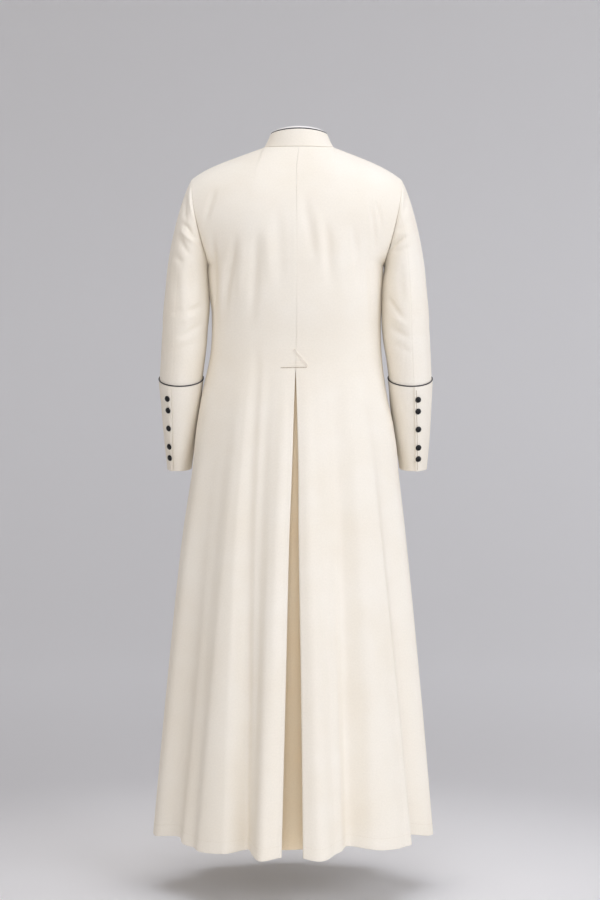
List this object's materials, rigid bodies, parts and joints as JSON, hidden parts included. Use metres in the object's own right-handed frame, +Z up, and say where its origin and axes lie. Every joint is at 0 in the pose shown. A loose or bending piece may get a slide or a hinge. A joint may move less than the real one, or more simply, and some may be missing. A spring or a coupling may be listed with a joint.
{
  "type": "cassock",
  "caption": "Ivory full-length cassock in its worn, hollow form: standing collar, piped and buttoned cuffs, back pleat.",
  "frame": {"origin": "middle of the neckline, halfway between the two side neck points, where the wearer's shoulders and neck hold the garment", "axes": "+Z up, -Y towards the front of the garment, +X towards the wearer's left"},
  "size_m": [0.5849, 0.512, 1.4728],
  "materials": {
    "cloth": "matt wool-blend cloth, ivory",
    "piping": "matt near-black cord piping",
    "white_band": "smooth stiffened white cotton",
    "button": "black satin-covered, domed"
  },
  "bodies": {
    "root": {"back_left": "cloth", "back_right": "cloth", "back_pleat": "cloth", "front_left": "cloth", "front_right": "cloth", "collar": "cloth", "collar_piping": "piping", "collar_insert": "white_band", "sleeve_top_left": "cloth", "sleeve_under_left": "cloth", "cuff_left": "cloth", "cuff_piping_left": "piping", "cuff_button_left_1": "button", "cuff_button_left_2": "button", "cuff_button_left_3": "button", "cuff_button_left_4": "button", "cuff_button_left_5": "button", "sleeve_top_right": "cloth", "sleeve_under_right": "cloth", "cuff_right": "cloth", "cuff_piping_right": "piping", "cuff_button_right_1": "button", "cuff_button_right_2": "button", "cuff_button_right_3": "button", "cuff_button_right_4": "button", "cuff_button_right_5": "button", "front_button_01": "button", "front_button_02": "button", "front_button_03": "button", "front_button_04": "button", "front_button_05": "button", "front_button_06": "button", "front_button_07": "button", "front_button_08": "button", "front_button_09": "button", "front_button_10": "button", "front_button_11": "button", "front_button_12": "button", "front_button_13": "button", "front_button_14": "button", "front_button_15": "button", "front_button_16": "button", "front_button_17": "button", "front_button_18": "button", "front_button_19": "button", "front_button_20": "button", "front_button_21": "button", "front_button_22": "button", "front_button_23": "button", "front_button_24": "button", "front_button_25": "button", "front_button_26": "button", "front_button_27": "button", "front_button_28": "button"}
  },
  "joints": []
}
